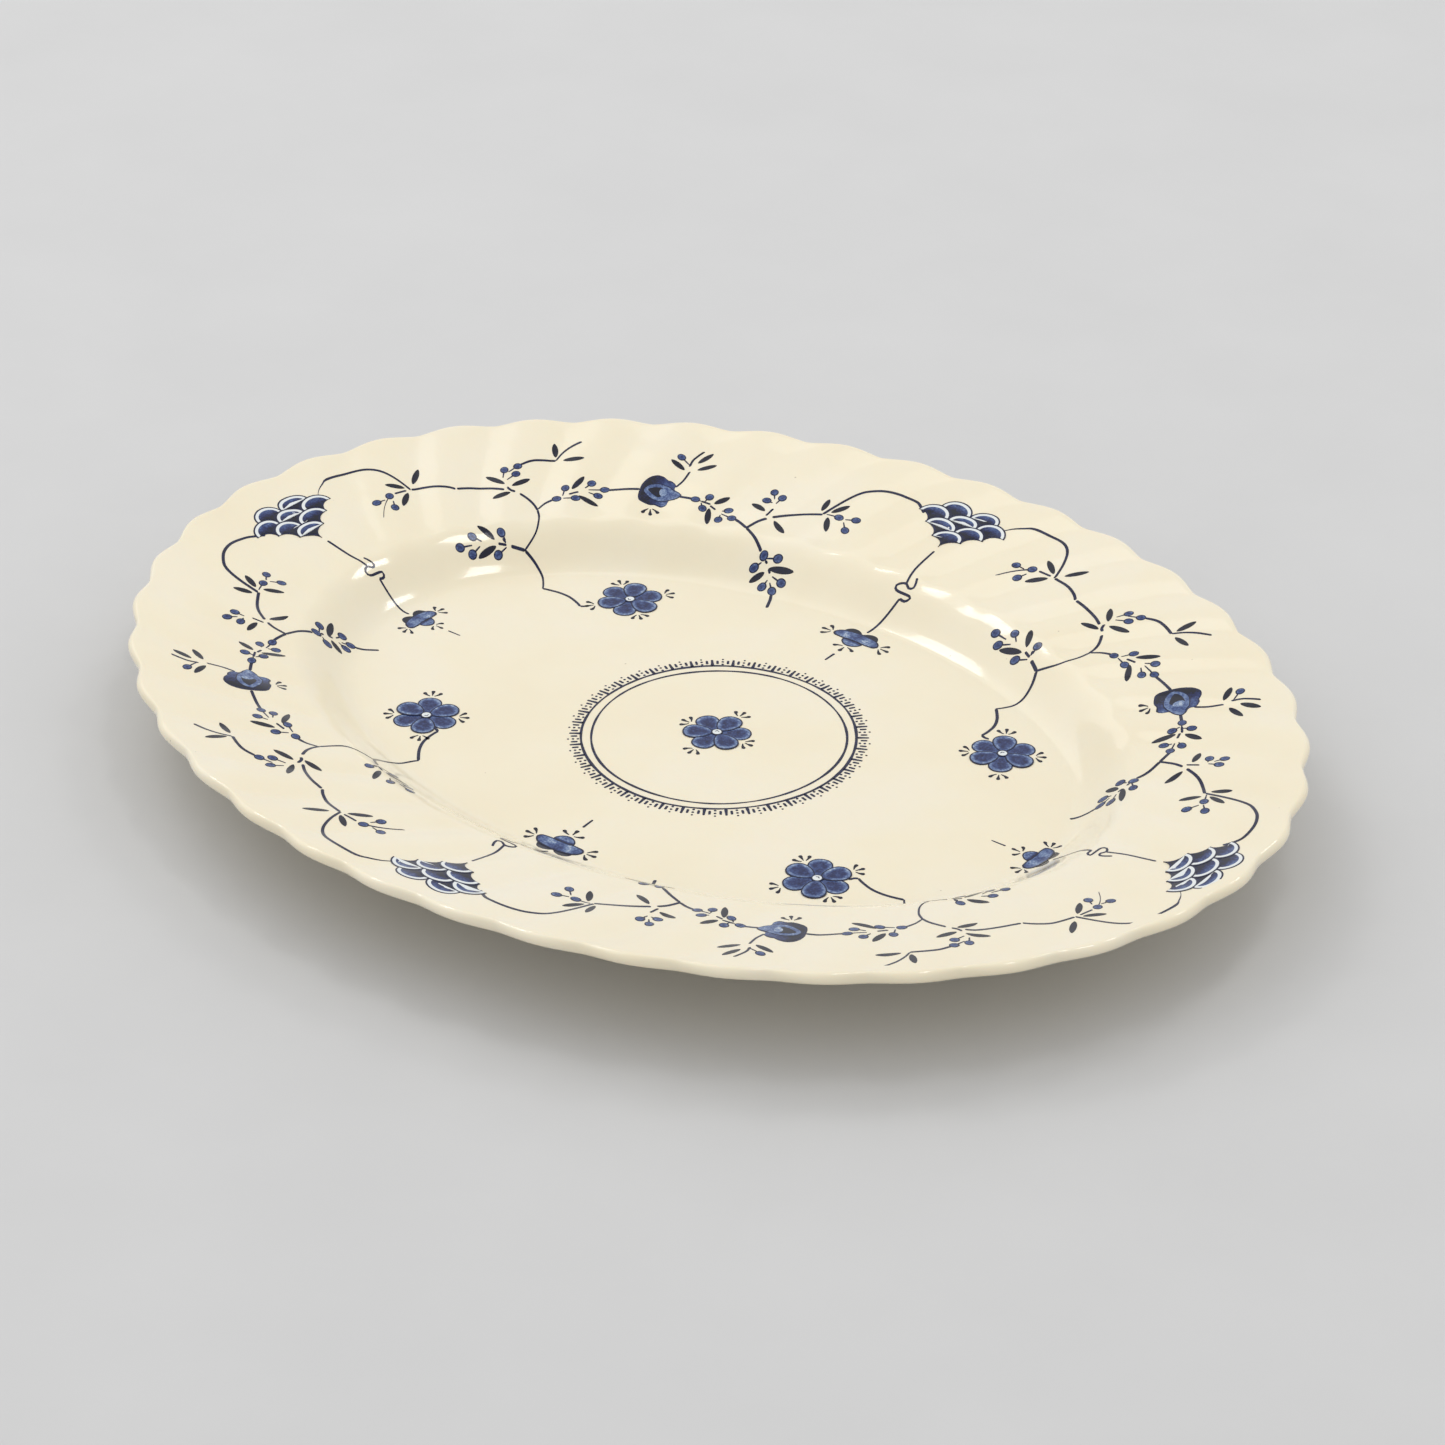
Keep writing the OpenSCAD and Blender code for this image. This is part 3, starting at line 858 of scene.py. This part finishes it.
def centre_ring(line, spot):
    """Two lines, and outside them a tall tick, a short tick, dots and a short tick, repeated."""
    ring_stroke(line, spot, RING_R, 0.34)
    ring_stroke(line, spot, RING_R - RING_GAP, 0.3)
    for i in range(RING_PERIODS):
        for share in (0, 0.25, 0.5, 0.75):
            turn = (i + share) / RING_PERIODS * 2 * math.pi
            ray = np.array([math.cos(turn), math.sin(turn)])
            if share == 0:
                ribbon(line, spot, [ray * (RING_R + 0.1), ray * (RING_R + 3)], [0.48, 0.34, 0.28], 0, INK)
            elif share == 0.5:
                for reach, size in RING_DOTS:
                    at = ray * (RING_R + reach)
                    blob(line, spot, oval(at, size, size, points=10), at, 0, INK, rings=2)
            else:
                ribbon(line, spot, [ray * (RING_R + 0.9), ray * (RING_R + 2.6)], [0.34, 0.3], 0, INK)


# ---- materials ----


class Shader:
    """Short names for adding and linking the nodes of one material."""

    def __init__(self, name):
        self.material = bpy.data.materials.new(name)
        self.material.use_nodes = True
        self.tree = self.material.node_tree
        self.surface = self.tree.nodes["Principled BSDF"]
        self.place = self.add("ShaderNodeTexCoord").outputs["Object"]

    def add(self, kind, **settings):
        node = self.tree.nodes.new(kind)
        for name, value in settings.items():
            setattr(node, name, value)
        return node

    def link(self, source, target):
        self.tree.links.new(source, target)

    def noise(self, size_mm, detail=3, roughness=0.55):
        """Noise whose features are about size_mm across."""
        node = self.add("ShaderNodeTexNoise")
        node.inputs["Scale"].default_value = 1 / (size_mm * MM)
        node.inputs["Detail"].default_value = detail
        node.inputs["Roughness"].default_value = roughness
        self.link(self.place, node.inputs["Vector"])
        return node.outputs["Fac"]

    def fit(self, value, low, high, to_low, to_high):
        node = self.add("ShaderNodeMapRange")
        self.link(value, node.inputs["Value"])
        for name, number in zip(("From Min", "From Max", "To Min", "To Max"), (low, high, to_low, to_high)):
            node.inputs[name].default_value = number
        return node.outputs["Result"]

    def sum(self, a, b, operation="ADD"):
        node = self.add("ShaderNodeMath", operation=operation)
        for socket, value in zip(node.inputs, (a, b)):
            if isinstance(value, (int, float)):
                socket.default_value = value
            else:
                self.link(value, socket)
        return node.outputs[0]

    def ramp(self, value, stops):
        node = self.add("ShaderNodeValToRGB")
        elements = node.color_ramp.elements
        while len(elements) < len(stops):
            elements.new(1)
        for element, (position, colour) in zip(elements, stops):
            element.position = position
            element.color = (*linear(colour), 1)
        self.link(value, node.inputs["Fac"])
        return node.outputs["Color"]

    def mix(self, factor, a, b, blend="MIX"):
        node = self.add("ShaderNodeMix", data_type="RGBA", blend_type=blend)
        self.link(factor, node.inputs["Factor"])
        for socket, value in zip(node.inputs[6:8], (a, b)):
            if isinstance(value, tuple):
                socket.default_value = (*linear(value), 1)
            else:
                self.link(value, socket)
        return node.outputs[2]

    def bump(self, *layers):
        """Stacks bumps, each a height from 0 to 1 and its depth in mm."""
        normal = None
        for height, depth_mm in layers:
            node = self.add("ShaderNodeBump")
            node.inputs["Distance"].default_value = depth_mm * MM
            self.link(height, node.inputs["Height"])
            if normal is not None:
                self.link(normal, node.inputs["Normal"])
            normal = node.outputs["Normal"]
        self.link(normal, self.surface.inputs["Normal"])
        return normal

    def glaze(self, coat):
        """The clear glaze over body and print: gloss with a soft unevenness."""
        self.surface.inputs["IOR"].default_value = 1.5
        self.surface.inputs["Coat Weight"].default_value = coat
        self.surface.inputs["Coat Roughness"].default_value = 0.03
        rough = self.fit(self.noise(9, detail=2), 0.3, 0.7, 0.1, 0.16)
        self.link(rough, self.surface.inputs["Roughness"])
        normal = self.bump((self.noise(14, detail=1), 0.12), (self.noise(1.1, detail=2), 0.004))
        self.link(normal, self.surface.inputs["Coat Normal"])


def linear(colour):
    """Linear values of a colour given as sRGB from 0 to 255."""
    parts = [c / 255 for c in colour]
    return tuple(c / 12.92 if c <= 0.04045 else ((c + 0.055) / 1.055) ** 2.4 for c in parts)


CREAM = (240, 230, 203)
CREAM_WARM = (239, 228, 200)
CREAM_COOL = (240, 231, 208)
SPECK = (120, 100, 80)
UNGLAZED = (226, 211, 182)


def cream_glaze():
    shader = Shader("cream_glaze")
    clouds = shader.ramp(shader.noise(34, detail=3), [(0.36, CREAM_WARM), (0.5, CREAM), (0.66, CREAM_COOL)])
    mottle = shader.fit(shader.noise(2.2, detail=4), 0.35, 0.7, 0, 0.18)
    body = shader.mix(mottle, clouds, CREAM_WARM)
    cells = shader.add("ShaderNodeTexVoronoi")
    cells.inputs["Scale"].default_value = 1 / (11 * MM)
    shader.link(shader.place, cells.inputs["Vector"])
    near = shader.fit(cells.outputs["Distance"], 0.016, 0.028, 1, 0)
    spots = shader.mix(shader.sum(near, 0.45, "MULTIPLY"), body, SPECK)
    shader.link(spots, shader.surface.inputs["Base Color"])
    shader.surface.inputs["Subsurface Weight"].default_value = 0.12
    shader.surface.inputs["Subsurface Radius"].default_value = (0.0016, 0.0012, 0.0008)
    shader.surface.inputs["Subsurface Scale"].default_value = 1.0
    shader.glaze(0.5)
    return shader.material


PRINT_STOPS = [
    (0.0, (226, 230, 230)),
    (0.12, (190, 201, 212)),
    (0.3, (116, 136, 172)),
    (0.5, (62, 82, 130)),
    (0.72, (32, 44, 92)),
    (0.9, (17, 24, 62)),
    (1.0, (9, 12, 32)),
]


def printed(name, grain):
    """Cobalt print under the glaze; grain is how far the engraver's dots break up the tone."""
    shader = Shader(name)
    attribute = shader.add("ShaderNodeAttribute", attribute_name="shade")
    shade = attribute.outputs["Fac"]
    dots = shader.fit(shader.noise(0.5, detail=2), 0.3, 0.7, -1, 1)
    wash = shader.fit(shader.noise(1.6, detail=2), 0.3, 0.7, -1, 1)
    broken = shader.sum(shader.sum(dots, grain, "MULTIPLY"), shader.sum(wash, grain * 0.9, "MULTIPLY"))
    inked = shader.fit(shade, 0.05, 0.3, 0, 1)
    tone = shader.sum(shade, shader.sum(broken, inked, "MULTIPLY"))
    shader.link(shader.ramp(tone, PRINT_STOPS), shader.surface.inputs["Base Color"])
    shader.surface.inputs["Specular IOR Level"].default_value = 0.3
    shader.glaze(0.1)
    return shader.material


def pale_floor():
    shader = Shader("pale_floor")
    grey = shader.ramp(shader.noise(60, detail=4), [(0.3, (205, 205, 205)), (0.7, (208, 208, 208))])
    shader.link(grey, shader.surface.inputs["Base Color"])
    shader.surface.inputs["Roughness"].default_value = 0.75
    shader.surface.inputs["Specular IOR Level"].default_value = 0.2
    return shader.material


# ---- the pieces ----


def dress(piece, material, node):
    piece.data.materials.append(material)
    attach(piece, "root")
    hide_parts(node)


def laid_print(node, draw):
    """Draws one transfer and makes its line piece and, if it has tone, its tone piece."""
    line, tint = Print(), Print()
    draw(line, tint)
    dress(line.piece(node + "_lines"), line_material, node)
    if tint.count:
        dress(tint.piece(node + "_tones"), tint_material, node)


def middle(node):
    low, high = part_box(node)
    return (low.x + high.x) / 2 / MM, (low.y + high.y) / 2 / MM


line_material = printed("navy_line", 0.05)
tint_material = printed("blue_tone", 0.13)

dress(build_body(), cream_glaze(), "earthenware_body")

ring_spot = Well(middle("centre_ring_print"))
laid_print("centre_ring_print", lambda line, tint: centre_ring(line, ring_spot))

centre_spot = Well(middle("centre_flower_print"))
laid_print(
    "centre_flower_print",
    lambda line, tint: six_petals(line, tint, centre_spot, (0, 90, 180, 270)),
)

for k in SECTIONS:
    at = middle(f"well_flower_print_{k}")
    flower_spot = Well(at, math.degrees(math.atan2(at[1], at[0])))
    laid_print(
        f"well_flower_print_{k}",
        lambda line, tint: six_petals(line, tint, flower_spot, (0, 90, 180, 270)),
    )
    laid_print(f"side_flower_print_{k}", lambda line, tint: side_flower(k, line, tint))
    laid_print(f"scale_panel_print_{k}", lambda line, tint: scale_panel(k, line, tint))
    laid_print(f"rose_print_{k}", lambda line, tint: rose(k, line, tint))
    laid_print(f"vine_print_{k}", lambda line, tint: vine(k, line, tint))


# ---- the stage ----


def build_floor():
    size = 6.0
    mesh = bpy.data.meshes.new("floor")
    corners = [(-size, -size, 0), (size, -size, 0), (size, size, 0), (-size, size, 0)]
    mesh.from_pydata(corners, [], [(0, 1, 2, 3)])
    floor = bpy.data.objects.new("floor", mesh)
    floor.data.materials.append(pale_floor())
    bpy.context.scene.collection.objects.link(floor)


def softbox(name, azimuth, elevation, distance, size, power):
    """A white rectangular soft light that looks at the origin, from an azimuth and an elevation."""
    a, e = math.radians(azimuth), math.radians(elevation)
    out = Vector((math.cos(a) * math.cos(e), math.sin(a) * math.cos(e), math.sin(e)))
    data = bpy.data.lights.new(name, "AREA")
    data.shape = "RECTANGLE"
    data.size, data.size_y = size
    data.energy = power
    light = bpy.data.objects.new(name, data)
    light.location = out * distance
    light.rotation_mode = "QUATERNION"
    light.rotation_quaternion = (-out).to_track_quat("-Z", "Y")
    bpy.context.scene.collection.objects.link(light)


def build_lights():
    world = bpy.data.worlds.new("studio")
    world.use_nodes = True
    world.node_tree.nodes["Background"].inputs["Color"].default_value = (1, 1, 1, 1)
    world.node_tree.nodes["Background"].inputs["Strength"].default_value = 0.82
    bpy.context.scene.world = world
    softbox("window_low", 82, 52, 1.5, (0.26, 0.22), 1.1)
    softbox("window_high", 50, 76, 1.5, (0.34, 0.2), 1.3)
    softbox("left_edge", 166, 54, 1.5, (0.5, 0.16), 1.2)
    softbox("left", 178, 50, 1.9, (2, 1.6), 6)


def build_camera():
    """The camera of the reference view: a long lens, from the front right and above."""
    azimuth, elevation, roll = math.radians(35.66), math.radians(31.07), math.radians(0.2)
    distance = 1087 * MM
    offset = (4 * MM, 2 * MM)
    back = Vector(
        (
            math.sin(azimuth) * math.cos(elevation),
            -math.cos(azimuth) * math.cos(elevation),
            math.sin(elevation),
        )
    )
    right = Vector((math.cos(azimuth), math.sin(azimuth), 0))
    up = back.cross(right)
    c, s = math.cos(roll), math.sin(roll)
    right, up = c * right + s * up, c * up - s * right
    place = right * offset[0] + up * offset[1] + back * distance + Vector((0, 0, WELL_Z * MM))
    data = bpy.data.cameras.new("camera")
    data.sensor_width = 36
    data.lens = 111.2
    camera = bpy.data.objects.new("camera", data)
    camera.matrix_world = Matrix.Translation(place) @ Matrix((right, up, back)).transposed().to_4x4()
    bpy.context.scene.collection.objects.link(camera)
    bpy.context.scene.camera = camera


build_floor()
build_lights()
build_camera()
bpy.context.scene.view_settings.view_transform = "Standard"
